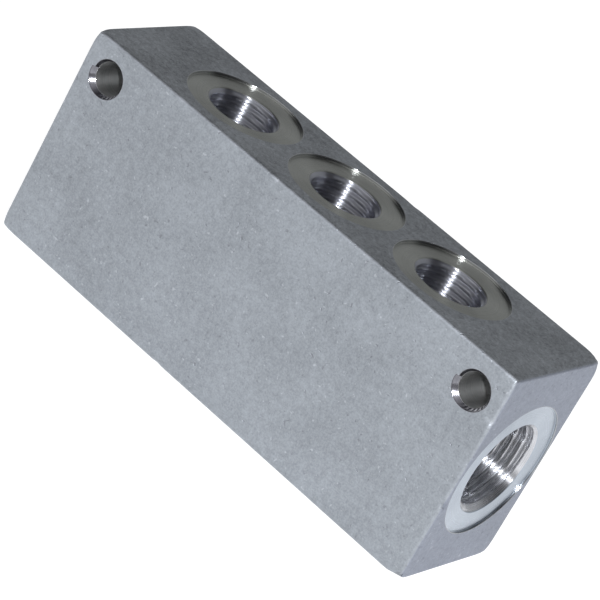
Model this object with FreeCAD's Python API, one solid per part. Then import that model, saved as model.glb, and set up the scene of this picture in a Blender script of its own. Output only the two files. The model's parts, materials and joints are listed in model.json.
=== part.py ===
import FreeCAD, Part
import os
from math import radians, tan

# Air manifold block: one bar of aluminium, drilled and tapped.
#
# The bar stands on its long narrow face. +X runs along the bar, +Y across it and +Z up, and the
# origin is the middle of the face that it stands on. The three outlets are in the top face, an
# inlet is in each end, and two fixing holes run through the wide faces. All sizes are in millimetres.

# Bar
length = 72.0
width = 20.0
height = 30.0
edge_radius = 0.5

# Corner that has been knocked: the front bottom corner at the +X end has a small worn flat
wear_depth = 0.36
wear_direction = FreeCAD.Vector(0.2, -0.4, -0.9)

# Outlets: pipe thread G 1/8, drilled for tapping, with a flat for the fitting's seal
outlet_count = 3
outlet_pitch = 18.0
outlet_thread_major = 9.728
outlet_tap_drill = 8.8
outlet_flat = 16.0
outlet_flat_depth = 0.4

# Inlets: pipe thread G 1/4, one in each end, on the axis of the gallery
inlet_height = 15.0
inlet_thread_major = 13.157
inlet_tap_drill = 11.8
inlet_tap_drill_depth = 12.5
inlet_flat = 19.0
inlet_flat_depth = 0.4

# Every thread starts in a countersink that opens a little wider than the thread
lead_in_clearance = 0.2
lead_in_angle = 90.0

# Gallery that joins the inlets and feeds the outlets
gallery_bore = 10.0
drill_point_angle = 118.0

# Fixing holes for two M4 screws, countersunk lightly on both sides
fixing_bore = 4.3
fixing_mouth = 5.2
fixing_mouth_angle = 90.0
fixing_from_end = 4.4
fixing_from_top = 4.7

# A cutter stands this far out of the face that it enters, so that no skin is left
overrun = 2.0


def cone_depth(wide, narrow, angle):
    """Depth over which a cone of the given full angle goes from one diameter to the other."""
    return (wide - narrow) / 2 / tan(radians(angle / 2))


def turned_cutter(steps, mouth, inward):
    """Solid of revolution with its mouth at a point of the face and its depth along inward.

    steps is a list of (depth, diameter) pairs, as on a turning drawing, from the mouth downwards.
    """
    outline = [FreeCAD.Vector(0, 0, steps[0][0])]
    outline += [FreeCAD.Vector(diameter / 2, 0, depth) for depth, diameter in steps]
    if steps[-1][1] > 0:
        outline.append(FreeCAD.Vector(0, 0, steps[-1][0]))
    outline.append(outline[0])
    face = Part.Face(Part.makePolygon(outline))
    solid = face.revolve(FreeCAD.Vector(0, 0, 0), FreeCAD.Vector(0, 0, 1), 360)
    turn = FreeCAD.Rotation(FreeCAD.Vector(0, 0, 1), inward)
    solid.Placement = FreeCAD.Placement(mouth, turn)
    return solid


def bar():
    """The bar with every edge rounded by tumbling."""
    corner = FreeCAD.Vector(-length / 2, -width / 2, 0)
    block = Part.makeBox(length, width, height, corner)
    return block.makeFillet(edge_radius, block.Edges)


def worn_corner():
    """Disc that takes the knocked corner off, square to the direction of the knock."""
    outward = FreeCAD.Vector(wear_direction).normalize()
    centre = FreeCAD.Vector(length / 2 - edge_radius, -width / 2 + edge_radius, edge_radius)
    flat = centre + outward * (edge_radius - wear_depth)
    return Part.makeCylinder(4 * edge_radius, 2 * edge_radius, flat, outward)


def port_steps(flat, flat_depth, major, tap_drill):
    """Steps of a port down to its tapping bore: flat for the seal, then the thread's countersink."""
    mouth = major + lead_in_clearance
    bore_depth = flat_depth + cone_depth(mouth, tap_drill, lead_in_angle)
    return [(-overrun, flat), (flat_depth, flat), (flat_depth, mouth), (bore_depth, tap_drill)]


def outlet(x):
    """One outlet, drilled down until its full bore reaches the axis of the gallery."""
    steps = port_steps(outlet_flat, outlet_flat_depth, outlet_thread_major, outlet_tap_drill)
    full_bore = height - inlet_height
    steps.append((full_bore, outlet_tap_drill))
    steps.append((full_bore + cone_depth(outlet_tap_drill, 0, drill_point_angle), 0))
    return turned_cutter(steps, FreeCAD.Vector(x, 0, height), FreeCAD.Vector(0, 0, -1))


def inlet(side):
    """One inlet with its half of the gallery; side is 1 at the +X end and -1 at the other."""
    steps = port_steps(inlet_flat, inlet_flat_depth, inlet_thread_major, inlet_tap_drill)
    full_bore = inlet_flat_depth + inlet_tap_drill_depth
    point = cone_depth(inlet_tap_drill, gallery_bore, drill_point_angle)
    steps.append((full_bore, inlet_tap_drill))
    steps.append((full_bore + point, gallery_bore))
    steps.append((length / 2 + overrun, gallery_bore))
    mouth = FreeCAD.Vector(side * length / 2, 0, inlet_height)
    return turned_cutter(steps, mouth, FreeCAD.Vector(-side, 0, 0))


def fixing_hole(side):
    """One fixing hole with a small countersink at each face; side is 1 at the +X end."""
    mouth_depth = cone_depth(fixing_mouth, fixing_bore, fixing_mouth_angle)
    steps = [
        (-overrun, fixing_mouth),
        (0, fixing_mouth),
        (mouth_depth, fixing_bore),
        (width - mouth_depth, fixing_bore),
        (width, fixing_mouth),
        (width + overrun, fixing_mouth),
    ]
    x = side * (length / 2 - fixing_from_end)
    mouth = FreeCAD.Vector(x, -width / 2, height - fixing_from_top)
    return turned_cutter(steps, mouth, FreeCAD.Vector(0, 1, 0))


def manifold_block():
    """The finished part: the bar with everything drilled out of it."""
    first_outlet = -outlet_pitch * (outlet_count - 1) / 2
    cutters = [outlet(first_outlet + outlet_pitch * i) for i in range(outlet_count)]
    for side in (-1, 1):
        cutters.append(inlet(side))
        cutters.append(fixing_hole(side))
    cutters.append(worn_corner())
    return bar().cut(cutters).removeSplitter().Solids[0]


os.makedirs("parts", exist_ok=True)
manifold_block().exportStep("parts/manifold_block.step")
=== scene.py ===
import json
from math import cos, pi, radians, sin, tan

import bpy
import numpy as np
from mathutils import Matrix, Vector


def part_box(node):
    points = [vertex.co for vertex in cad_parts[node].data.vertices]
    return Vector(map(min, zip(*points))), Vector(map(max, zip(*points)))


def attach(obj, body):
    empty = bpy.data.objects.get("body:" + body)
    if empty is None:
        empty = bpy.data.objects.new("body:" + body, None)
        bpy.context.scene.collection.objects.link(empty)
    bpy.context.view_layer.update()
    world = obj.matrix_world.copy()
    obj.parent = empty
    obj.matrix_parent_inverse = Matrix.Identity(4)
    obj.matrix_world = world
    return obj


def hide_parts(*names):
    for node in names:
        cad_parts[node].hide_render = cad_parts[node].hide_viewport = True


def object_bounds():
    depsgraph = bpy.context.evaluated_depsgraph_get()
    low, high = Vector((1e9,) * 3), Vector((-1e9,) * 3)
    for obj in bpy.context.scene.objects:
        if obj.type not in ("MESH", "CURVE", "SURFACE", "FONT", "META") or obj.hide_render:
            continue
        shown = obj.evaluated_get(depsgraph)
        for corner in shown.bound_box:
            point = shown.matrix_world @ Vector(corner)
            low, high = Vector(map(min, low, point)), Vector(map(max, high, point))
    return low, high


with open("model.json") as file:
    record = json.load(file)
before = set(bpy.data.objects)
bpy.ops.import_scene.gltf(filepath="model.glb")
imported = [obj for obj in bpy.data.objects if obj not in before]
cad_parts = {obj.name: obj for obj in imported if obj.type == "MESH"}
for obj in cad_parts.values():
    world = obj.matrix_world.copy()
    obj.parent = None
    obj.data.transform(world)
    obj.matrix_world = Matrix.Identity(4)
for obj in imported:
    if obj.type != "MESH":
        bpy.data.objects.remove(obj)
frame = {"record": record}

cad_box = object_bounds()

# The block is one drilled and tapped aluminium bar. Its whole surface is one closed mesh, made of patches:
# the rounded outside, three outlets, two inlets, the gallery that joins them and two fixing holes.
# Sizes are in millimetres until the mesh is filled.

MM = 0.001
mounts = {mount["name"]: mount for mount in frame["record"]["mounts"]}
bar_low, bar_high = (np.round(np.array(corner) / MM, 4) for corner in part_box("manifold_block"))
edge_radius = 0.5

# Corner knocked flat: the front bottom one at the +X end
wear_depth = 0.36
wear_direction = np.array([0.2, -0.4, -0.9]) / np.linalg.norm([0.2, -0.4, -0.9])

# Ports: radii of the tapping bore, the thread, the seal flat and the countersink's mouth, the depths of the
# flat and of the full thread, then how many points the mesh has round the port and rows in one pitch
outlet_x = [mounts[f"outlet_{i}"]["pos_m"][0] / MM for i in (1, 2, 3)]
inlet_z = mounts["inlet_right"]["pos_m"][2] / MM
outlet = {"tap": mounts["outlet_1"]["dims"]["r_mm"], "major": 4.864, "flat": 8.0, "mouth": 4.964,
          "flat_depth": 0.4, "pitch": 0.907, "thread": 8.0, "nodes": 144, "rows_per_pitch": 7.5,
          "finish": "outlet flat", "thread_finish": "outlet thread"}
inlet = {"tap": mounts["inlet_right"]["dims"]["r_mm"], "major": 6.5785, "flat": 9.5, "mouth": 6.6785,
         "flat_depth": 0.3, "pitch": 1.337, "thread": 11.0, "nodes": 160, "rows_per_pitch": 8,
         "finish": "inlet flat", "thread_finish": "inlet thread"}

# Pipe thread: half its angle, then the radius of its root and how far its sharp form would stand past
# the major radius, both as shares of the pitch
flank_angle = radians(27.5)
root_share, sharp_share = 0.1373, 0.1601

# The thread runs out over its last turns: how many, how steeply, and how far its wall goes on below it
run_out_turns, run_out_slope, past_thread = 1.5, 0.45, 0.6

# Depth of the inlets' tapping bore, half the angle of a drill's point, and the gallery's radius
inlet_bore_end = 12.9
drill_point = radians(59)
gallery_r = 5.0

fixing_r = mounts["fixing_holes"]["dims"]["hole_r_mm"]
fixing_x = mounts["fixing_holes"]["dims"]["spacing_x_mm"] / 2
fixing_z = mounts["fixing_holes"]["pos_m"][2] / MM
fixing_nodes = 176

# Countersinks of the fixing holes: radius at the face, the softened edge into the bore, and the depth,
# which is more in the hole at the -X end (-1) than in the one at the +X end (1)
fixing_mouth, bore_edge = 2.53, 0.04
countersink_depth = {-1: 0.57, 1: 0.47}

# They were cut a little off centre: the angle where they are widest, how much wider they are there and
# over what angle. The cut ends in a step: its angle, how much narrower it is past it and over what angle
cut_wide, cut_more, cut_reach = 4.3, 0.27, 0.9
cut_end, cut_step, step_reach = 4.83, 0.20, 0.7

# Chatter of the same cutter: height of its waves, their count in a turn and how far they slant on the way
# down, then the angle where they are strongest and over what angle they fade, all angles in radians
chatter_height, chatter_waves, chatter_slant = 0.10, 26, 3
chatter_middle, chatter_reach = 2.3, 0.6

# Edges left by the cutters are broken by this much where they meet a face. Inside a port, the corner of
# its flat and the edge into its countersink have their own sizes
edge_break = 0.07
flat_corner, countersink_edge = 0.06, 0.09

# Small dents from handling: place on the surface, width, depth, and the painted light laid on them: a
# painted glint above 0, painted shade below 0, none at 0. The grid has lines through those on the upright
# edge and through one on the long top edge
upright_dents = [
    ((35.80, -9.95, 23.7), 0.36, 0.14, 1.0),
    ((35.85, -9.95, 17.9), 0.34, 0.08, -0.9),
    ((35.95, -9.75, 11.6), 0.45, 0.12, -0.8),
]
lengthwise_dent = ((-3.85, -9.95, 29.7), 0.34, 0.06, 1.0)
dents = [
    *upright_dents,
    lengthwise_dent,
    ((-20.5, -9.90, 29.8), 0.50, 0.08, 0.5),
    ((11.4, -9.80, 29.7), 0.45, 0.07, 0.5),
    ((-36.0, 9.70, 11.0), 0.50, 0.10, 0.5),
    ((4.0, 9.80, 29.8), 0.50, 0.09, 0.5),
    ((-6.5, -9.90, 0.2), 0.50, 0.10, 0.5),
    ((35.95, -9.60, 5.4), 0.50, 0.10, 0.0),
]

# Where three edges meet, the tumbling has worn the corner rounder: width and depth, more at two corners
corner_wear = (1.0, 0.20)
more_worn = [(tuple(bar_high), 1.3, 0.30), ((bar_low[0], bar_low[1], bar_high[2]), 1.2, 0.14)]


# Surface patches

patches = []


def unit(vectors):
    """Each vector divided by its length."""
    return vectors / (np.linalg.norm(vectors, axis=-1, keepdims=True) + 1e-15)


def keep_patch(points, normals, uv, faces, finish, rubbed=0.0):
    """One patch of surface. Its faces are turned so that the patch looks along its own normals: the sum
    of face normal . vertex normal over the patch is positive. The last value pales rounded edges, partly
    for real wear and partly as a painted highlight, lays painted glints and painted shade at dents, and
    marks scuffs with painted glints in a countersink."""
    points, normals, uv = points.reshape(-1, 3), normals.reshape(-1, 3), uv.reshape(-1, 2)
    a, b, c = (points[faces[:, i]] for i in range(3))
    if np.einsum("ij,ij->i", np.cross(b - a, c - a), normals[faces[:, 0]]).sum() < 0:
        faces = faces[:, ::-1]
    rubbed = np.broadcast_to(rubbed, len(points))
    patches.append((points, normals, uv, rubbed, faces, finish))


def grid_faces(rows, columns, keep=None):
    """Two triangles for each cell of a grid of rows x columns points; keep is a mask of the cells."""
    first = (np.arange(rows - 1)[:, None] * columns + np.arange(columns - 1)[None]).ravel()
    if keep is not None:
        first = first[keep.ravel()]
    corners = np.stack([first, first + 1, first + columns + 1, first + columns], 1)
    return np.concatenate([corners[:, [0, 1, 2]], corners[:, [0, 2, 3]]])


def ring_angle(ring):
    """Direction of each point of a flat ring from the origin, growing from 0."""
    return np.mod(np.arctan2(ring[:, 1], ring[:, 0]) + 1e-9, 2 * pi)


def strip_between(inner, outer):
    """Triangles that join two closed flat rings round the origin, which may differ in their counts.

    Both rings start near angle 0. Each step along either ring is the base of one triangle, and the
    steps of both are taken in the order of their middle angles. The inner ring is numbered first."""
    a, b = (np.append(ring_angle(ring), 2 * pi + ring_angle(ring)[0]) for ring in (inner, outer))
    steps = np.concatenate([(a[1:] + a[:-1]) / 2, (b[1:] + b[:-1]) / 2])
    order = np.argsort(steps, kind="stable")
    on_inner = order < len(inner)
    i = np.cumsum(on_inner) - on_inner
    j = np.cumsum(~on_inner) - ~on_inner
    n, m = len(inner), len(outer)
    apex = np.where(on_inner, (i + 1) % n, n + (j + 1) % m)
    return np.stack([i % n, apex, n + j % m], 1)


# Outside of the bar

worn_corners = [((x, y, z), *corner_wear) for x in (bar_low[0], bar_high[0])
                for y in (bar_low[1], bar_high[1]) for z in (bar_low[2], bar_high[2])] + more_worn


def bar_point(sharp):
    """Point of the worn bar for a point of the sharp-edged box.

    The nearest point of the box shrunk by the edge radius, plus the radius along the line between the
    two. Whatever stands past the worn flat is then moved back on to it, and each dent pushes its
    surroundings in by depth x exp(-(distance / width)^2) along that same line."""
    core = np.clip(sharp, bar_low + edge_radius, bar_high - edge_radius)
    out = unit(sharp - core)
    point = core + edge_radius * out
    corner = np.array([bar_high[0] - edge_radius, bar_low[1] + edge_radius, bar_low[2] + edge_radius])
    past = (point - corner) @ wear_direction - (edge_radius - wear_depth)
    point = point - np.maximum(past, 0)[..., None] * wear_direction
    for centre, width, depth in [dent[:3] for dent in dents] + worn_corners:
        distance = np.linalg.norm(point - np.array(centre), axis=-1, keepdims=True)
        point = point - depth * np.exp(-((distance / width) ** 2)) * out
    return point


skin_of_axis = ("tumbled end", "tumbled side", "tumbled edge face")


def keep_bar_patch(sharp, axis, faces):
    """A patch of the outside from its points on the sharp-edged box, whose face is square to axis.

    The normal is the cross product of the surface's two slopes, taken by small steps on either side, and
    looks out of the bar. The paling of rounded edges, partly real wear and partly a painted highlight, is
    the square root of (1 - cos turn) / (1 - cos 45 degrees), with turn the angle from the face's own
    direction; each dent adds shine x exp(-(distance / width)^2), a painted glint, and painted shade where
    shine is negative."""
    step_u, step_v = [np.eye(3)[i] * 1e-3 for i in range(3) if i != axis]
    slope_u = bar_point(sharp + step_u) - bar_point(sharp - step_u)
    slope_v = bar_point(sharp + step_v) - bar_point(sharp - step_v)
    normal = unit(np.cross(slope_u, slope_v))
    outward = sharp - np.clip(sharp, bar_low + edge_radius, bar_high - edge_radius)
    normal *= np.sign(np.sum(normal * outward, 1, keepdims=True))
    points = bar_point(sharp)
    # Rounded edges are paled as real wear with a painted highlight; each dent adds a painted glint, and one
    # with a negative value painted shade
    rubbed = np.clip((1 - np.abs(normal[:, axis])) / (1 - cos(pi / 4)), 0, 1) ** 0.5
    for centre, width, depth, shine in dents:
        rubbed += shine * np.exp(-((np.linalg.norm(points - np.array(centre), axis=1) / width) ** 2))
    keep_patch(points, normal, np.delete(sharp, axis, 1), faces, skin_of_axis[axis], rubbed)


def face_lines(axis, stops, step):
    """Grid lines across the bar: r tan(angle) over each rounded edge, and even steps between stops."""
    low, high = bar_low[axis], bar_high[axis]
    rounding = edge_radius * (1 - np.tan(np.radians([45, 36, 27, 18, 9])))
    stops = [low + edge_radius, *stops, high - edge_radius]
    spans = [np.linspace(a, b, max(1, round((b - a) / step)) + 1)[:-1] for a, b in zip(stops, stops[1:])]
    return np.concatenate([low + rounding, *spans, stops[-1:], (high - rounding)[::-1]])


# Each hole takes a block of the grid: one pitch of the bar's length for an outlet, a square for an inlet,
# and for a fixing hole as far below its middle as the top face is above it
half_pitch = (outlet_x[1] - outlet_x[0]) / 2
outlet_stops = [outlet_x[0] - half_pitch, outlet_x[0] + half_pitch,
                outlet_x[2] - half_pitch, outlet_x[2] + half_pitch]
inlet_low, inlet_high = inlet_z - bar_high[1], inlet_z + bar_high[1]
fixing_low = 2 * fixing_z - bar_high[2]

mark_shifts = (-0.3, 0, 0.3)
upright_marks = [dent[0][2] + shift for dent in upright_dents for shift in mark_shifts]
lengthwise_marks = [lengthwise_dent[0][0] + shift for shift in mark_shifts]
cell_x, cell_y, cell_z = 0.8, 0.8, 0.75
lines = [face_lines(0, sorted([*outlet_stops, *lengthwise_marks]), cell_x), face_lines(1, [], cell_y),
         face_lines(2, sorted([inlet_low, fixing_low, inlet_high, *upright_marks]), cell_z)]


def lay_face(axis, side, blocks):
    """One face of the bar as a grid, without the cells of the blocks that its holes take."""
    u, v = (lines[i] for i in range(3) if i != axis)
    flat = np.stack(np.meshgrid(u, v, indexing="ij"), -1).reshape(-1, 2)
    mid_u, mid_v = ((u[1:] + u[:-1]) / 2)[:, None], ((v[1:] + v[:-1]) / 2)[None]
    keep = np.ones((len(u) - 1, len(v) - 1), bool)
    for (u0, u1), (v0, v1) in blocks:
        keep &= ~((mid_u > u0) & (mid_u < u1) & (mid_v > v0) & (mid_v < v1))
    level = (bar_low if side < 0 else bar_high)[axis]
    keep_bar_patch(np.insert(flat, axis, level, 1), axis, grid_faces(len(u), len(v), keep))


def block_edge(u, v, block):
    """The grid points on a block's edge, once round."""
    (u0, u1), (v0, v1) = block
    u = u[(u > u0 - 1e-6) & (u < u1 + 1e-6)]
    v = v[(v > v0 - 1e-6) & (v < v1 + 1e-6)]
    sides = [(np.full(len(v), u[-1]), v), (u[::-1], np.full(len(u), v[-1])),
             (np.full(len(v), u[0]), v[::-1]), (u, np.full(len(u), v[0]))]
    return np.concatenate([np.stack(side, 1)[:-1] for side in sides])


def fill_block(curve, block, centre, u, v, shares):
    """Flat points and triangles between a closed curve and the grid round its block.

    Ring by ring the curve is drawn out towards the block's edge: (1 - share) x curve + share x the
    point of the edge in the same direction from the centre. A strip joins the last ring to the grid."""
    centre = np.array(centre, float)
    (u0, u1), (v0, v1) = np.array(block, float) - centre[:, None]
    curve = curve - centre
    reach_u = np.where(curve[:, 0] > 0, u1, -u0) / (np.abs(curve[:, 0]) + 1e-12)
    reach_v = np.where(curve[:, 1] > 0, v1, -v0) / (np.abs(curve[:, 1]) + 1e-12)
    on_edge = curve * np.minimum(reach_u, reach_v)[:, None]
    shares = np.array(shares)[:, None, None]
    rings = (1 - shares) * curve + shares * on_edge
    edge = block_edge(u, v, block) - centre
    edge = np.roll(edge, -np.argmin(ring_angle(edge)), 0)
    count = len(curve)
    faces = strip_between(rings[-1], edge) + (len(rings) - 1) * count
    if len(rings) > 1:
        between = grid_faces(len(rings), count + 1)
        faces = np.concatenate([between // (count + 1) * count + between % (count + 1) % count, faces])
    return np.concatenate([rings.reshape(-1, 2), edge]) + centre, faces


def circle(radius, count):
    """Points round the origin at radius x (cos angle, sin angle), the angles growing in even steps."""
    angle = np.linspace(0, 2 * pi, count + 1)[:-1]
    return radius * np.stack([np.cos(angle), np.sin(angle)], 1)


# Ports and holes, each turned about its own axis

class Axis:
    """Axis of a hole: the middle of its mouth, the direction inwards, and two directions across it.

    across x onward = inwards, so a growing angle runs clockwise as seen from outside. At each angle the
    direction out is cos x across + sin x onward, and the one round is cos x onward - sin x across."""

    def __init__(self, mouth, inward, across, count):
        self.mouth, self.inward, across = (np.array(a, float) for a in (mouth, inward, across))
        self.angle = np.linspace(0, 2 * pi, count + 1)
        onward = np.cross(self.inward, across)
        turn_cos, turn_sin = np.cos(self.angle)[:, None], np.sin(self.angle)[:, None]
        self.out = turn_cos * across + turn_sin * onward
        self.round = turn_cos * onward - turn_sin * across

    def place(self, radius, depth):
        """Points at mouth + radius x out + depth x inward, one for each angle."""
        return self.mouth + radius[..., None] * self.out + depth[..., None] * self.inward


def keep_turned(axis, radius, depth, finish, rubbed=0.0):
    """A wall on a grid of rows down the hole by angles round it, from its radius and depth.

    With dr and dd the change of radius and depth from row to row, and r' and d' their slopes round the
    axis, the normal is -dd outwards, dr inwards along the axis and (dd r' - dr d') / r round it. UV is
    (turns, distance along the profile in mm)."""
    shape = np.broadcast_shapes(radius.shape, depth.shape, (1, len(axis.angle)))
    radius, depth = np.broadcast_to(radius, shape), np.broadcast_to(depth, shape)
    fall, run = np.gradient(depth, axis=0)[..., None], np.gradient(radius, axis=0)[..., None]
    ahead, behind = [*range(1, shape[1]), 1], [-2, *range(shape[1] - 1)]
    over_radius, over_depth = ((values[:, ahead] - values[:, behind])[..., None] / (2 * axis.angle[1])
                               for values in (radius, depth))
    turned = (fall * over_radius - run * over_depth) / radius[..., None]
    normals = unit(-fall * axis.out + run * axis.inward + turned * axis.round)
    uv = np.stack([np.broadcast_to(axis.angle / (2 * pi), shape), radius - depth], -1)
    keep_patch(axis.place(radius, depth), normals, uv, grid_faces(*shape), finish, rubbed)


def keep_rim(axis, face_points, face_normals, radius, top, finish):
    """The broken edge between a face and a wall: (1-t)^2 face + 2t(1-t) corner + t^2 wall, where the
    corner lies above the wall's top row. The normals are (1-t) face normal - t out, made unit long."""
    wall = axis.place(radius + 0 * top, top)
    corner = wall + ((face_points - wall) @ axis.inward)[:, None] * axis.inward
    t = np.linspace(0, 1, 4)[:, None, None]
    points = (1 - t) ** 2 * face_points + 2 * t * (1 - t) * corner + t ** 2 * wall
    normals = unit((1 - t) * face_normals - t * axis.out)
    shape = points.shape[:2]
    uv = np.stack([np.broadcast_to(axis.angle / (2 * pi), shape), radius + edge_break * (1 - t[..., 0])
                   + np.zeros(shape)], -1)
    keep_patch(points, normals, uv, grid_faces(*shape), finish)


def softened(corners, sizes):
    """A profile of (radius, depth) corners with each inner corner rounded from size before it to size
    after it: (1-t)^2 a + 2t(1-t) corner + t^2 b."""
    corners = np.array(corners, float)
    t = np.linspace(0, 1, 4)[:, None]
    runs = [corners[:1]]
    for before, corner, after, size in zip(corners, corners[1:], corners[2:], sizes):
        a, b = corner + size * unit(before - corner), corner + size * unit(after - corner)
        runs.append((1 - t) ** 2 * a + 2 * t * (1 - t) * corner + t ** 2 * b)
    return np.concatenate([*runs, corners[-1:]])


def thread_radius(port, angle, depth):
    """Radius of the tapped wall at an angle and depth below the face.

    The tapping bore and its countersink, cut by a right-handed 55 degree groove with a rounded root.
    With a the distance along the axis to the groove's middle and r the root's radius, the groove's radius
    is major - r + sqrt(r^2 - a^2) in the root and major + sharp_share x pitch - a / tan(flank_angle) on
    its flanks, less a run-out that grows evenly over the last turns. The wall is the widest of the three."""
    pitch = port["pitch"]
    turns = depth / pitch - angle / (2 * pi)
    along = np.abs(turns - np.round(turns)) * pitch
    root = root_share * pitch
    bottom = port["major"] - root + np.sqrt(np.maximum(root ** 2 - along ** 2, 0))
    flank = port["major"] + sharp_share * pitch - along / tan(flank_angle)
    groove = np.where(along < root * cos(flank_angle), bottom, flank)
    run_out = run_out_slope * np.maximum(depth - (port["thread"] - run_out_turns * pitch), 0)
    cone = port["mouth"] - (depth - port["flat_depth"])
    return np.maximum(np.maximum(port["tap"], cone), groove - run_out)


def keep_thread(axis, port, start):
    """The tapped wall, from the depth start to just past the thread, with its normals from the formula:
    minus the radial direction, plus dr/d(depth) inwards, plus dr/d(angle) / r round the axis."""
    end = port["thread"] + past_thread
    count = round((end - start) / port["pitch"] * port["rows_per_pitch"])
    depth = np.linspace(start, end, count + 1)[:, None] + 0 * axis.angle
    radius = thread_radius(port, axis.angle, depth)
    step, turn = 0.02 * port["pitch"], 0.02 * port["pitch"] / port["major"]
    down = thread_radius(port, axis.angle, depth + step) - thread_radius(port, axis.angle, depth - step)
    over = thread_radius(port, axis.angle + turn, depth) - thread_radius(port, axis.angle - turn, depth)
    normals = unit(-axis.out + (down / (2 * step))[..., None] * axis.inward
                   + (over / (2 * turn) / radius)[..., None] * axis.round)
    uv = np.stack([np.broadcast_to(axis.angle / (2 * pi), depth.shape), radius - depth], -1)
    keep_patch(axis.place(radius, depth), normals, uv, grid_faces(*depth.shape), port["thread_finish"])
    return end


def keep_port(axis, port, face_points, face_normals, fall):
    """One port from its broken edge to the end of its thread: the seal flat's wall, the flat, the
    softened edge into the countersink and the thread. The wall's depth at a share of the way down is
    (1 - share) x top + share x flat. fall is how far the face has dropped below the mouth's level at
    each angle, because a wide flat cuts into the bar's rounded edges."""
    clear = port["mouth"] - port["major"]
    level = port["flat_depth"]
    profile = softened([(port["flat"], 0), (port["flat"], level), (port["mouth"], level),
                        (port["major"], level + clear)], (flat_corner, countersink_edge))
    top = edge_break + fall
    keep_rim(axis, face_points, face_normals, port["flat"], top, "flat wall")
    share = np.linspace(0, 1, 3)[:, None]
    keep_turned(axis, np.full((3, 1), port["flat"]), (1 - share) * top + share * profile[1, 1], "flat wall")
    keep_turned(axis, profile[1:, :1], profile[1:, 1:], port["finish"])
    return keep_thread(axis, port, level + clear)


def keep_outlet(x):
    """An outlet in the top face. Its bore ends where it breaks into the gallery, at the height
    gallery axis + sqrt(gallery_r^2 - (tap sin(angle))^2)."""
    axis = Axis((x, 0, bar_high[2]), (0, 0, -1), (1, 0, 0), outlet["nodes"])
    level = np.zeros(len(axis.angle))
    face_points = bar_point(axis.place(level + outlet["flat"] + edge_break, level))
    end = keep_port(axis, outlet, face_points, level[:, None] + [0, 0, 1], level)
    height = inlet_z + np.sqrt(gallery_r ** 2 - (outlet["tap"] * np.sin(axis.angle)) ** 2)
    share = np.linspace(0, 1, 4)[:, None]
    depth = (1 - share) * end + share * (bar_high[2] - height)
    keep_turned(axis, np.full((4, 1), outlet["tap"]), depth, "drilled")
    block = ((x - half_pitch, x + half_pitch), (bar_low[1] + edge_radius, bar_high[1] - edge_radius))
    curve = circle(outlet["flat"] + edge_break, outlet["nodes"]) + (x, 0)
    flat, faces = fill_block(curve, block, (x, 0), lines[0], lines[1], [0])
    keep_bar_patch(np.insert(flat, 2, bar_high[2], 1), 2, faces)
    return block


def unrounded(y):
    """The sharp box's y for a y of the rounded bar: past the flat part by the angle, out by its tangent."""
    inner = bar_high[1] - edge_radius
    past = np.clip((np.abs(y) - inner) / edge_radius, 0, 1)
    return np.sign(y) * np.where(past > 0, inner + edge_radius * np.tan(np.arcsin(past)), np.abs(y))


def dropped(y):
    """How far the rounded edge has fallen below the end face at y: r - sqrt(r^2 - past^2)."""
    past = np.maximum(np.abs(y) - (bar_high[1] - edge_radius), 0)
    return edge_radius - np.sqrt(edge_radius ** 2 - past ** 2)


def keep_inlet(side):
    """An inlet in an end face, down to the gallery. Its flat is nearly as wide as the bar, so its edge
    runs out over the rounded edges. The drill's point takes (tap - gallery_r) / tan(drill_point) of
    depth, and its shoulder is softened a little. Rings draw the flat's edge out to 0.93 of the way to
    the edge of its block."""
    axis = Axis((side * bar_high[0], 0, inlet_z), (-side, 0, 0), (0, 1, 0), inlet["nodes"])
    rim = inlet["flat"] + edge_break
    mouth = axis.place(rim + 0 * axis.angle, 0 * axis.angle)
    sharp = np.stack([mouth[:, 0], unrounded(mouth[:, 1]), mouth[:, 2]], 1)
    face_points = bar_point(sharp)
    core = np.clip(sharp, bar_low + edge_radius, bar_high - edge_radius)
    fall = dropped(axis.out[:, 1] * inlet["flat"])
    end = keep_port(axis, inlet, face_points, unit(sharp - core), fall)
    tap, shoulder = inlet["tap"], 0.02
    bore = np.array([(tap, end), (tap, inlet_bore_end - shoulder), (tap, inlet_bore_end),
                     (tap - shoulder, inlet_bore_end + shoulder / tan(drill_point)),
                     (gallery_r, inlet_bore_end + (tap - gallery_r) / tan(drill_point))])
    keep_turned(axis, bore[:, :1], bore[:, 1:], "drilled")
    block = ((bar_low[1], bar_high[1]), (inlet_low, inlet_high))
    curve = circle(rim, inlet["nodes"])
    curve = np.stack([unrounded(curve[:, 0]), curve[:, 1] + inlet_z], 1)
    flat, faces = fill_block(curve, block, (0, inlet_z), lines[1], lines[2], np.linspace(0, 0.93, 11))
    keep_bar_patch(np.insert(flat, 0, side * bar_high[0], 1), 0, faces)
    return block


def mouth_radius(angle):
    """Radius of a fixing hole's mouth: wider by cut_more x exp(-((angle - cut_wide) / cut_reach)^2) up
    to the step, and narrower by cut_step x exp(-turn / step_reach) at a turn past it."""
    past_step = np.mod(angle - cut_end, 2 * pi)
    wider = cut_more * np.exp(-(((angle - cut_wide) / cut_reach) ** 2))
    narrower = cut_step * np.exp(-past_step / step_reach)
    return fixing_mouth + np.where(past_step > pi, wider, -narrower)


def chatter_strength(angle):
    """How strong the chatter is at an angle: exp(-((angle - chatter_middle) / chatter_reach)^2)."""
    return np.exp(-(((angle - chatter_middle) / chatter_reach) ** 2))


def chatter(angle, share):
    """Waves that the chattering cutter left in the countersink, from -1 to 1, at a share of the way down:
    strength x sin(chatter_waves x angle + chatter_slant x share) x sin(pi x share)."""
    waves = np.sin(chatter_waves * angle + chatter_slant * share)
    return chatter_strength(angle) * waves * np.sin(pi * share)


def countersink_radius(angle, share):
    """Radius of the countersink at a share of the way down: an even fall from the mouth to the bore,
    plus the chatter's waves times their height."""
    fall = (1 - share) * mouth_radius(angle) + share * (fixing_r + bore_edge)
    return fall + chatter_height * chatter(angle, share)


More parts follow.
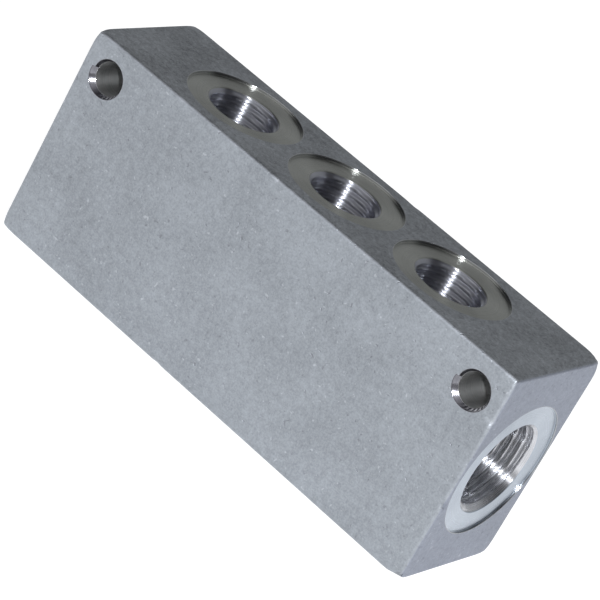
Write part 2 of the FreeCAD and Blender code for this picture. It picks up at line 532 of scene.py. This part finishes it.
def keep_fixing_hole(side):
    """A plain hole through the bar with a small countersink at each mouth. In the front one the wall is
    paled where the cutter chattered, by half the chatter's strength plus its waves, held between 0 and 1:
    partly a real scuff, partly painted glints on the waves."""
    thickness = bar_high[1] - bar_low[1]
    axis = Axis((side * fixing_x, bar_low[1], fixing_z), (0, 1, 0), (0, 0, 1), fixing_nodes)
    share = np.linspace(0, 1, 9)[:, None]
    depth = countersink_depth[side]
    down = (1 - share) * edge_break + share * depth
    mouth, cone = mouth_radius(axis.angle), countersink_radius(axis.angle, share)
    # The last angle is the first one again, a full turn on
    mouth[-1], cone[:, -1] = mouth[0], cone[:, 0]
    half = np.array([(fixing_r + bore_edge, depth), (fixing_r + 0.3 * bore_edge, depth + 0.9 * bore_edge),
                     (fixing_r, depth + 2 * bore_edge), (fixing_r, thickness / 2)])
    profile = np.concatenate([half, (half * (1, -1) + (0, thickness))[-2::-1]])
    # Paler, rougher scuff along the chatter, partly real and partly painted glints
    scuff_and_glint = np.clip(0.5 * chatter_strength(axis.angle) + chatter(axis.angle, share), 0, 1).ravel()
    keep_turned(axis, cone, down, "countersink", scuff_and_glint)
    keep_turned(axis, profile[:, :1], profile[:, 1:], "drilled")
    keep_turned(axis, cone[::-1], (thickness - down)[::-1], "countersink")
    block = (tuple(sorted((side * outlet_stops[-1], side * (bar_high[0] - edge_radius)))),
             (fixing_low, bar_high[2] - edge_radius))
    level = np.zeros(fixing_nodes + 1)
    for face_depth, outward in ((0, -1), (thickness, 1)):
        sharp = axis.place(mouth + edge_break, level + face_depth)
        keep_rim(axis, bar_point(sharp), level[:, None] + [0, outward, 0], mouth,
                 level + face_depth - outward * edge_break, "countersink")
        # The mouth in x and z, reordered so that its angles grow from the direction of +X
        curve = np.roll(sharp[:-1][::-1, [0, 2]], fixing_nodes // 4 + 1, 0)
        flat, faces = fill_block(curve, block, (side * fixing_x, fixing_z), lines[0], lines[2], [0])
        keep_bar_patch(np.insert(flat, 1, bar_low[1] + face_depth, 1), 1, faces)
    return block


def keep_gallery():
    """The gallery between the two drill points: a tube round the X axis, unrolled to x and
    arc = gallery_r x angle from the top. Each outlet opens it along
    (tap cos(turn), gallery_r asin(tap sin(turn) / gallery_r)), and rings draw that curve out to 0.85 of
    the way to the edge of its block. A block reaches open_steps steps of the arc from the top."""
    half = bar_high[0] - inlet_bore_end - (inlet["tap"] - gallery_r) / tan(drill_point)
    spans = [(-half, outlet_stops[1]), (outlet_stops[1], outlet_stops[2]), (outlet_stops[2], half)]
    arc_step = 2 * pi * gallery_r / inlet["nodes"]
    open_steps = 36
    x = np.unique(np.concatenate([np.linspace(a, b, 10) for a, b in spans]).round(9))
    arc = np.arange(-open_steps, open_steps + 1) * arc_step

    def keep_tube(flat, faces):
        """Points (x, gallery_r sin(turn), inlet_z + gallery_r cos(turn)), with turn = arc / gallery_r."""
        turn = flat[:, 1] / gallery_r
        out = np.stack([0 * turn, np.sin(turn), np.cos(turn)], 1)
        points = gallery_r * out + np.stack([flat[:, 0], 0 * turn, inlet_z + 0 * turn], 1)
        keep_patch(points, -out, np.stack([turn / (2 * pi), flat[:, 0]], 1), faces, "drilled")

    closed = np.arange(open_steps, inlet["nodes"] - open_steps + 1) * arc_step
    tube = np.stack(np.meshgrid(x, closed, indexing="ij"), -1).reshape(-1, 2)
    keep_tube(tube, grid_faces(len(x), len(closed)))
    ring = circle(outlet["tap"], outlet["nodes"])
    opening = np.stack([ring[:, 0], gallery_r * np.arcsin(ring[:, 1] / gallery_r)], 1)
    for centre, span in zip(outlet_x, spans):
        block = (span, (arc[0], arc[-1]))
        keep_tube(*fill_block(opening + (centre, 0), block, (centre, 0), x, arc, np.linspace(0, 0.85, 5)))


# The mesh

def weld(patches, finishes):
    """The patches as one closed mesh. Points in the same cell of a very fine lattice are one point:
    floor(point / cell + shift), where the shift keeps round coordinates away from the cells' borders.
    A triangle that has lost a side is left out."""
    cell, shift = 1e-5, 0.3819660113
    points = np.concatenate([patch[0] for patch in patches])
    starts = np.cumsum([0] + [len(patch[0]) for patch in patches[:-1]])
    corners = np.concatenate([patch[4] + start for patch, start in zip(patches, starts)])
    finish = np.concatenate([np.full(len(patch[4]), finishes.index(patch[5])) for patch in patches])
    places = np.floor(points / cell + shift).astype(np.int64)
    _, first, point_of = np.unique(places, axis=0, return_index=True, return_inverse=True)
    faces = point_of.reshape(-1)[corners]
    whole = (faces[:, 0] != faces[:, 1]) & (faces[:, 1] != faces[:, 2]) & (faces[:, 2] != faces[:, 0])
    faces, corners, finish = faces[whole], corners[whole], finish[whole]
    used, faces = np.unique(faces, return_inverse=True)
    return points[first][used], faces.reshape(-1, 3), corners.reshape(-1), finish


def fill_mesh(name, materials):
    """The welded patches as a Blender object, with the patches' own normals, UV, wear and painted light."""
    finishes = list(materials)
    points, faces, corners, finish = weld(patches, finishes)
    normals, uv, rubbed = (np.concatenate([patch[i] for patch in patches])[corners] for i in (1, 2, 3))
    mesh = bpy.data.meshes.new(name)
    mesh.vertices.add(len(points))
    mesh.vertices.foreach_set("co", (points * MM).astype(np.float32).ravel())
    mesh.loops.add(faces.size)
    mesh.loops.foreach_set("vertex_index", faces.astype(np.int32).ravel())
    mesh.polygons.add(len(faces))
    mesh.polygons.foreach_set("loop_start", np.arange(0, faces.size, 3, dtype=np.int32))
    for finish_name in finishes:
        mesh.materials.append(materials[finish_name])
    mesh.polygons.foreach_set("material_index", finish.astype(np.int32))
    mesh.uv_layers.new(name="turning").uv.foreach_set("vector", uv.astype(np.float32).ravel())
    # Per corner: edge wear with painted highlights, painted glints and shade at dents, scuffs with painted
    # glints
    mesh.attributes.new("rubbed", "FLOAT", "CORNER").data.foreach_set("value", rubbed.astype(np.float32))
    mesh.update(calc_edges=True)
    mesh.normals_split_custom_set(normals.tolist())
    mesh.validate()
    piece = bpy.data.objects.new(name, mesh)
    bpy.context.scene.collection.objects.link(piece)
    return piece


outlet_blocks = [keep_outlet(x) for x in outlet_x]
inlet_blocks = [keep_inlet(side) for side in (-1, 1)]
fixing_blocks = [keep_fixing_hole(side) for side in (-1, 1)]
keep_gallery()
lay_face(2, 1, outlet_blocks)
lay_face(2, -1, [])
lay_face(0, 1, inlet_blocks[1:])
lay_face(0, -1, inlet_blocks[:1])
lay_face(1, 1, fixing_blocks)
lay_face(1, -1, fixing_blocks)


# Finishes

def add_node(tree, kind, sockets=(), **settings):
    """One shader node. settings are its own properties; sockets are (input, value or output) pairs."""
    node = tree.nodes.new(kind)
    for name, value in settings.items():
        setattr(node, name, value)
    for name, value in dict(sockets).items():
        if isinstance(value, bpy.types.NodeSocket):
            tree.links.new(value, node.inputs[name])
        else:
            node.inputs[name].default_value = value
    return node


def millimetres(tree):
    """Object coordinates in millimetres."""
    place = add_node(tree, "ShaderNodeTexCoord").outputs["Object"]
    return add_node(tree, "ShaderNodeMapping", {"Vector": place, "Scale": [1 / MM] * 3}).outputs["Vector"]


def noise(tree, vector, scale, detail=2.0, roughness=0.5, distortion=0.0):
    """Value from 0 to 1 of a cloudy noise, with scale features to a millimetre."""
    return add_node(tree, "ShaderNodeTexNoise", {
        "Vector": vector, "Scale": scale, "Detail": detail, "Roughness": roughness,
        "Distortion": distortion}).outputs["Fac"]


def spread(tree, value, low, high, to_low, to_high):
    """value moved from the range low..high to to_low..to_high, and held at its ends."""
    return add_node(tree, "ShaderNodeMapRange", {
        "Value": value, "From Min": low, "From Max": high, "To Min": to_low, "To Max": to_high,
    }).outputs["Result"]


def sums(tree, operation, a, b):
    """One arithmetic step on two values."""
    return add_node(tree, "ShaderNodeMath", {0: a, 1: b}, operation=operation).outputs[0]


def tint(tree, factor, dark, light):
    """Colour between dark and light."""
    mix = add_node(tree, "ShaderNodeMix", {"Factor": factor}, data_type="RGBA")
    for socket, value in ((6, dark), (7, light)):
        if isinstance(value, bpy.types.NodeSocket):
            tree.links.new(value, mix.inputs[socket])
        else:
            mix.inputs[socket].default_value = (*value, 1)
    return mix.outputs[2]


def metal(name):
    """A new material with an aluminium surface, and its node tree."""
    material = bpy.data.materials.new(name)
    material.use_nodes = True
    surface = material.node_tree.nodes["Principled BSDF"]
    surface.inputs["Metallic"].default_value = 1.0
    return material, material.node_tree, surface


def bump(tree, height, distance_mm, under=None):
    """Normal raised by height x distance, on top of another bump."""
    sockets = {"Height": height, "Distance": distance_mm * MM, "Strength": 1.0}
    if under is not None:
        sockets["Normal"] = under
    return add_node(tree, "ShaderNodeBump", sockets).outputs["Normal"]


# Colours of the skin's pits and flecks, of its edges paled by wear and a painted highlight, of painted
# shade at dents, and of scuff marks with painted glints
pit_grey, fleck_pale = (0.17, 0.17, 0.19), (0.72, 0.75, 0.80)
wear_and_highlight_pale, dent_painted_shade = (0.63, 0.66, 0.71), (0.09, 0.09, 0.11)
scuff_and_glint_pale = (0.78, 0.79, 0.82)


def tumbled_finish(name, middle, contrast):
    """Matte skin from the tumbling drum: fine grain over a soft mottle and faint clouds, with scattered
    dull pits and small bright flecks. Rounded edges are paler, partly for real wear and partly as a painted
    highlight; at dents painted glints are laid on, and painted shade where the value is below 0.
    The colours run from middle x (1 - contrast) in the hollows to middle x (1 + contrast) on the grains."""
    material, tree, surface = metal(name)
    place = millimetres(tree)
    grain = noise(tree, place, scale=3.4, detail=3.0, roughness=0.75)
    mottle = noise(tree, place, scale=1.1, detail=3.0, roughness=0.6)
    clouds = noise(tree, place, scale=0.13, detail=3.0)
    rubbed = add_node(tree, "ShaderNodeAttribute", attribute_name="rubbed").outputs["Fac"]
    pit = spread(tree, noise(tree, place, scale=1.5, distortion=0.5), 0.66, 0.72, 0.0, 1.0)
    moved = add_node(tree, "ShaderNodeMapping", {"Vector": place, "Location": (3.7, 8.1, 5.3)}).outputs[0]
    fleck = spread(tree, noise(tree, moved, scale=1.7, distortion=0.3), 0.68, 0.73, 0.0, 1.0)
    shade = sums(tree, "ADD", spread(tree, grain, 0.3, 0.7, 0.0, 0.45),
                 spread(tree, mottle, 0.3, 0.7, 0.0, 0.35))
    shade = sums(tree, "ADD", shade, spread(tree, clouds, 0.35, 0.65, 0.0, 0.20))
    dark, light = (tuple(np.array(middle) * (1 + sign * contrast)) for sign in (-1, 1))
    base = tint(tree, shade, dark, light)
    base = tint(tree, sums(tree, "MULTIPLY", pit, 0.35), base, pit_grey)
    base = tint(tree, sums(tree, "MULTIPLY", fleck, 0.35), base, fleck_pale)
    # Paler rounded edges, partly real wear and partly a painted highlight, and painted glints at dents
    squared = sums(tree, "MULTIPLY", rubbed, sums(tree, "MAXIMUM", rubbed, 0.0))
    base = tint(tree, spread(tree, squared, 0.0, 2.5, 0.0, 0.7), base, wear_and_highlight_pale)
    # Painted shade at dents with a value below 0
    base = tint(tree, spread(tree, rubbed, 0.0, -1.0, 0.0, 0.7), base, dent_painted_shade)
    tree.links.new(base, surface.inputs["Base Color"])
    rough = spread(tree, grain, 0.3, 0.7, 0.58, 0.44)
    tree.links.new(rough, surface.inputs["Roughness"])
    relief = bump(tree, grain, distance_mm=0.03)
    relief = bump(tree, mottle, distance_mm=0.02, under=relief)
    relief = bump(tree, pit, distance_mm=-0.03, under=relief)
    tree.links.new(relief, surface.inputs["Normal"])
    return material


def turned_finish(name, dark, light, rough, rings, relief_mm, drawn=0.75, glint_strength=0.0):
    """Faced by a cutter turning about the port: fine rings at that many to a millimetre, with a
    gloss drawn out across the rings, and faint clouds. drawn is how far the gloss is drawn out. Where
    the cutter chattered the wall is paler and rougher, partly a real scuff and partly painted glints, and
    the last argument lays small scattered painted glints of that strength, also paler and rougher."""
    material, tree, surface = metal(name)
    path = add_node(tree, "ShaderNodeUVMap", uv_map="turning").outputs["UV"]
    along = add_node(tree, "ShaderNodeSeparateXYZ", {"Vector": path}).outputs["Y"]
    fine = add_node(tree, "ShaderNodeTexNoise", {"W": along, "Scale": rings, "Detail": 2.0},
                    noise_dimensions="1D").outputs["Fac"]
    clouds = noise(tree, millimetres(tree), scale=0.5, detail=3.0)
    shade = sums(tree, "ADD", spread(tree, fine, 0.3, 0.7, 0.0, 0.5),
                 spread(tree, clouds, 0.35, 0.65, 0.0, 0.5))
    # Paler, rougher where the cutter chattered: partly a real scuff, partly painted glints
    scuff_and_glint = add_node(tree, "ShaderNodeAttribute", attribute_name="rubbed").outputs["Fac"]
    # Small scattered painted glints in the thread
    if glint_strength:
        glint_spots = spread(tree, noise(tree, millimetres(tree), scale=1.8, detail=1.0), 0.68, 0.71, 0.0, glint_strength)
        scuff_and_glint = sums(tree, "MAXIMUM", scuff_and_glint, glint_spots)
    base = tint(tree, scuff_and_glint, tint(tree, shade, dark, light), scuff_and_glint_pale)
    tree.links.new(base, surface.inputs["Base Color"])
    gloss = spread(tree, fine, 0.3, 0.7, rough * 1.12, rough * 0.88)
    gloss = sums(tree, "ADD", gloss, sums(tree, "MULTIPLY", scuff_and_glint, 0.3))
    tree.links.new(gloss, surface.inputs["Roughness"])
    tree.links.new(bump(tree, fine, relief_mm), surface.inputs["Normal"])
    surface.inputs["Anisotropic"].default_value = drawn
    surface.inputs["Anisotropic Rotation"].default_value = 0.25
    tangent = add_node(tree, "ShaderNodeTangent", direction_type="UV_MAP", uv_map="turning")
    tree.links.new(tangent.outputs["Tangent"], surface.inputs["Tangent"])
    return material


materials = {
    # One tumbled skin on every face; the ends carry a painted bluish tint of the light that falls on them,
    # and the top and bottom are a little paler
    "tumbled side": tumbled_finish("tumbled side", middle=(0.350, 0.376, 0.410), contrast=0.29),
    "tumbled edge face": tumbled_finish("tumbled edge face", middle=(0.378, 0.396, 0.418), contrast=0.60),
    "tumbled end": tumbled_finish("tumbled end", middle=(0.350, 0.378, 0.447), contrast=0.14),
    # One turned seal flat for both kinds of port: the outlets' on the top is painted darker, with an olive
    # cast, and the inlets' on the ends paler and bluish, as painted shade and painted light
    "outlet flat": turned_finish("outlet seal flat", dark=(0.335, 0.341, 0.315), light=(0.41, 0.414, 0.385),
                                 rough=0.30, rings=9.0, relief_mm=0.004, drawn=0.85),
    "inlet flat": turned_finish("inlet seal flat", dark=(0.455, 0.507, 0.578), light=(0.525, 0.58, 0.652),
                                rough=0.30, rings=9.0, relief_mm=0.004),
    "flat wall": turned_finish("seal flat wall", dark=(0.40, 0.41, 0.42), light=(0.52, 0.53, 0.54),
                               rough=0.16, rings=12.0, relief_mm=0.001, drawn=0.85),
    # One tapped wall for both kinds of port: the outlets' is painted darker as painted shade and the inlets'
    # paler as painted light, and the inlets' carries painted glints
    "outlet thread": turned_finish("outlet thread", dark=(0.42, 0.43, 0.47), light=(0.52, 0.53, 0.58),
                                   rough=0.34, rings=6.0, relief_mm=0.0005, drawn=1.0),
    "inlet thread": turned_finish("inlet thread", dark=(0.60, 0.61, 0.64), light=(0.74, 0.75, 0.79),
                                  rough=0.28, rings=6.0, relief_mm=0.0005, drawn=1.0, glint_strength=0.6),
    # The countersinks are painted darker than the other cut walls, a painted dark reflection
    "countersink": turned_finish("countersink", dark=(0.16, 0.16, 0.18), light=(0.30, 0.30, 0.33),
                                 rough=0.17, rings=8.0, relief_mm=0.002, drawn=0.3),
    "drilled": turned_finish("drilled wall", dark=(0.36, 0.37, 0.37), light=(0.54, 0.54, 0.54),
                             rough=0.45, rings=3.0, relief_mm=0.03, drawn=0.7),
}

block = fill_mesh("drilled_and_tapped_bar", materials)
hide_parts("manifold_block")
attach(block, "root")


# Floor, light and camera

# Floor: its size and the gap under the block in metres, then its grey, and its glow for the camera and
# for what mirrors it
floor_size, floor_gap = 30.0, 0.00005
floor_grey, floor_glow, mirrored_glow = 0.40, 0.90, 0.78


def pale_floor(size, level):
    """A wide flat floor as a grid. It glows white for the camera and for what mirrors it, and as it is
    also lit like grey paint, it keeps the shadow."""
    side = np.linspace(-size / 2, size / 2, 3)
    flat = np.stack(np.meshgrid(side, side, indexing="ij"), -1).reshape(-1, 2)
    mesh = bpy.data.meshes.new("pale_floor")
    cells = [(0, 3, 4, 1), (1, 4, 5, 2), (3, 6, 7, 4), (4, 7, 8, 5)]
    mesh.from_pydata(np.insert(flat, 2, level, 1).tolist(), [], cells)
    floor = bpy.data.objects.new("pale_floor", mesh)
    bpy.context.scene.collection.objects.link(floor)
    material = bpy.data.materials.new("pale floor")
    material.use_nodes = True
    tree = material.node_tree
    tree.nodes.clear()
    paint = add_node(tree, "ShaderNodeBsdfDiffuse", {"Color": (floor_grey, floor_grey, floor_grey, 1)})
    rays = add_node(tree, "ShaderNodeLightPath").outputs
    reflected = sums(tree, "MAXIMUM", rays["Is Glossy Ray"], rays["Is Transmission Ray"])
    shine = sums(tree, "MAXIMUM", sums(tree, "MULTIPLY", rays["Is Camera Ray"], floor_glow),
                 sums(tree, "MULTIPLY", reflected, mirrored_glow))
    glow = add_node(tree, "ShaderNodeEmission", {"Color": (1, 1, 1, 1), "Strength": shine})
    both = add_node(tree, "ShaderNodeAddShader", {0: paint.outputs[0], 1: glow.outputs[0]})
    add_node(tree, "ShaderNodeOutputMaterial", {"Surface": both.outputs[0]})
    mesh.materials.append(material)


pale_floor(floor_size, cad_box[0][2] - floor_gap)


def soft_lamp(name, place, aim, size, power, colour):
    """A square lamp of that size in metres and power in watts, facing the point that it lights."""
    lamp = bpy.data.lights.new(name, "AREA")
    lamp.size = size
    lamp.energy = power
    lamp.color = colour
    stand = bpy.data.objects.new(name, lamp)
    stand.location = place
    stand.rotation_euler = (Vector(aim) - Vector(place)).to_track_quat("-Z", "Y").to_euler()
    bpy.context.scene.collection.objects.link(stand)


block_middle = (0, 0, inlet_z * MM)
soft_lamp("soft lamp overhead", place=(0.10, 0.10, 1.2), aim=block_middle,
          size=0.9, power=1.0, colour=(0.94, 0.97, 1.0))
soft_lamp("flash by the lens", place=(0.183, -0.308, 0.194), aim=block_middle,
          size=0.008, power=1.1, colour=(0.96, 0.98, 1.0))

# A dim room: a pale wall low behind the block, and elsewhere a dark ceiling's grey, with a bright side in
# front of the block that is brightest on the left. Each share comes from the direction that a ray takes
wall, near_side, ceiling = (0.35, 0.36, 0.37), (1.10, 1.10, 1.12), (0.07, 0.07, 0.075)

world = bpy.data.worlds.new("dim room")
world.use_nodes = True
room = world.node_tree
way = add_node(room, "ShaderNodeTexCoord").outputs["Generated"]
way = add_node(room, "ShaderNodeSeparateXYZ", {"Vector": way}).outputs
behind = spread(room, way["Y"], 0.35, 0.60, 0.0, 1.0)
low = spread(room, way["Z"], 0.55, 0.80, 1.0, 0.0)
in_front = spread(room, way["Y"], -0.30, -0.70, 0.0, 1.0)
under_ceiling = spread(room, way["Z"], 0.65, 1.00, 1.0, 0.0)
to_left = spread(room, way["X"], 0.05, 0.60, 1.0, 0.3)
near = sums(room, "MULTIPLY", sums(room, "MULTIPLY", in_front, under_ceiling), to_left)
sides = tint(room, near, ceiling, near_side)
room.links.new(tint(room, sums(room, "MULTIPLY", behind, low), sides, wall),
               room.nodes["Background"].inputs["Color"])
bpy.context.scene.world = world

# The camera's place, turn and length were solved from the block's corners and ports in the photograph
lens_place = Vector((0.155018, -0.307803, 0.167394))
lens_turn, lens_tilt, lens_roll = radians(26.4899), radians(23.9424), radians(29.3013)
lens_length_pixels, photo_width_pixels = 3053.21, 600
sensor_mm = 36

forward = Vector((-sin(lens_turn) * cos(lens_tilt), cos(lens_turn) * cos(lens_tilt), -sin(lens_tilt)))
level_right = forward.cross(Vector((0, 0, 1))).normalized()
level_up = level_right.cross(forward)
right = cos(lens_roll) * level_right + sin(lens_roll) * level_up
up = cos(lens_roll) * level_up - sin(lens_roll) * level_right
camera = bpy.data.cameras.new("camera")
camera.sensor_width = sensor_mm
camera.lens = sensor_mm * lens_length_pixels / photo_width_pixels
camera.clip_start = 0.01
stand = bpy.data.objects.new("camera", camera)
stand.matrix_world = Matrix.Translation(lens_place) @ Matrix((right, up, -forward)).transposed().to_4x4()
bpy.context.scene.collection.objects.link(stand)
bpy.context.scene.camera = stand
bpy.context.scene.view_settings.view_transform = "Standard"
